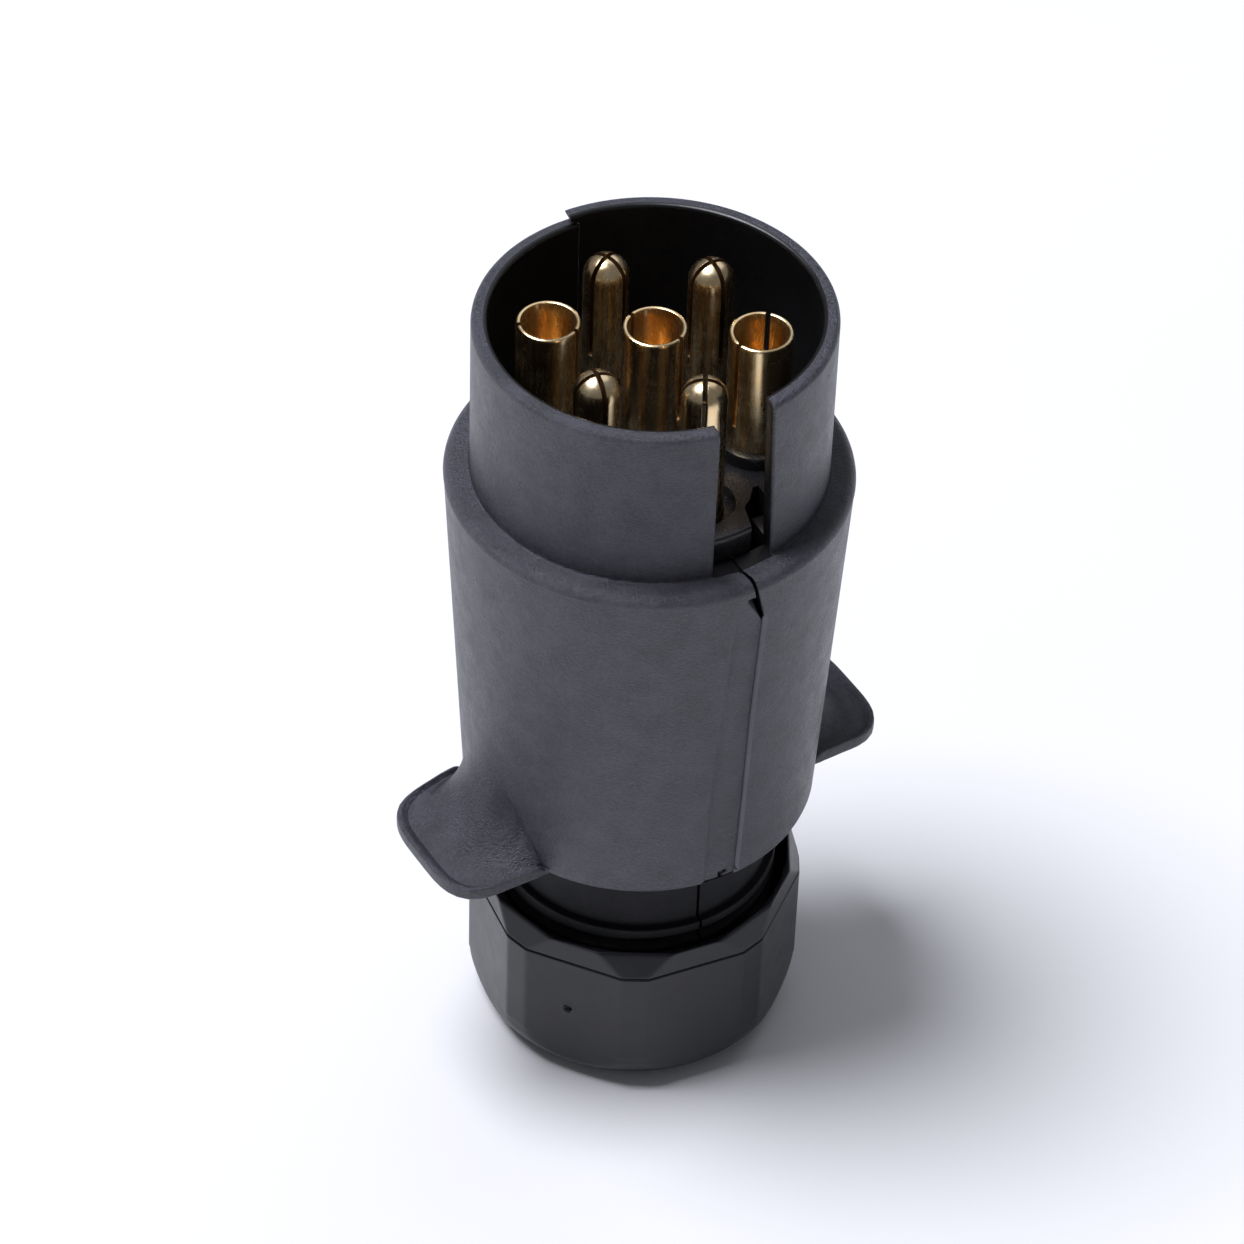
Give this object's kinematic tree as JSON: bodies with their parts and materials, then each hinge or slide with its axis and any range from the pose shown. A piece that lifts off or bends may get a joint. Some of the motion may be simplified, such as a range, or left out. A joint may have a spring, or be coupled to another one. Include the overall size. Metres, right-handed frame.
{
  "type": "trailer wiring plug",
  "caption": "Round trailer lighting plug with pins and socket tubes in a keyed sleeve, a two-part housing with finger ears, and a screw-on cable gland nut.",
  "frame": {"origin": "centre of the gland nut's flat end, which the plug stands on", "axes": "+Z along the plug's axis towards the mating face, -Y towards the keyway, the half shells part on the plane x = 0"},
  "size_m": [0.0618, 0.0476, 0.108],
  "materials": {
    "housing_plastic": "fine spark-eroded texture, satin",
    "nut_plastic": "smooth moulded, satin",
    "carrier_plastic": "smooth moulded",
    "contact_brass": "polished, turned",
    "plated_steel": "zinc plated",
    "seal_rubber": "matt"
  },
  "bodies": {
    "gland": {"gland_nut": "nut_plastic"},
    "washer": {"thrust_ring": "plated_steel"},
    "housing": {"left_half_shell": "housing_plastic", "right_half_shell": "housing_plastic", "contact_carrier": "carrier_plastic", "pin_contact_front": "contact_brass", "pin_contact_front_left": "contact_brass", "pin_contact_back": "contact_brass", "pin_contact_back_right": "contact_brass", "socket_contact_centre": "contact_brass", "socket_contact_right": "contact_brass", "socket_contact_left": "contact_brass", "terminal_screw_1": "plated_steel", "terminal_screw_2": "plated_steel", "terminal_screw_3": "plated_steel", "terminal_screw_4": "plated_steel", "terminal_screw_5": "plated_steel", "terminal_screw_6": "plated_steel", "terminal_screw_7": "plated_steel", "cable_seal": "seal_rubber"}
  },
  "joints": [
    {"name": "gland_spin", "type": "hinge", "parent": "gland", "child": "washer", "pos_m": [0, 0, 0], "axis": [0, 0, 1], "range_deg": [0, 1440]},
    {"name": "gland_travel", "type": "slide", "parent": "washer", "child": "housing", "axis": [0, 0, 1], "range_m": [0, 0.012]}
  ],
  "couplings": [
    {"joint": "gland_travel", "follows": "gland_spin", "m_per_rad": 0.00047746}
  ]
}
